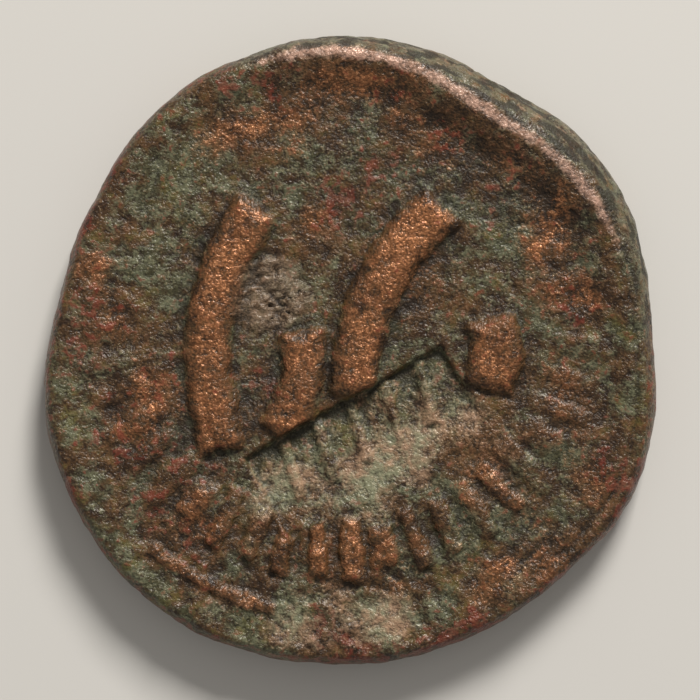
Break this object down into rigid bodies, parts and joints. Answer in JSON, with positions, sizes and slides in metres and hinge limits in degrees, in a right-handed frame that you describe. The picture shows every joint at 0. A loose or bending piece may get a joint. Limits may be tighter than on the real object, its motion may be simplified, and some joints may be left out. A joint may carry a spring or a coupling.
{
  "type": "roman bronze coin",
  "caption": "Worn, uneven round struck coin: bold raised strokes and an oblong sunk mark on the reverse, a rubbed head in profile on the obverse, rounded edge.",
  "frame": {"origin": "under the middle of the coin's outline, on the surface that the coin lies on with its obverse down", "axes": "+Z out of the reverse, which carries the strokes and the countermark; +Y towards the top of the reverse as it is read"},
  "size_m": [0.026, 0.0266, 0.0028],
  "materials": {
    "patinated_bronze": "worn struck bronze with green and brown patina"
  },
  "bodies": {
    "root": {"coin": "patinated_bronze"}
  },
  "joints": []
}
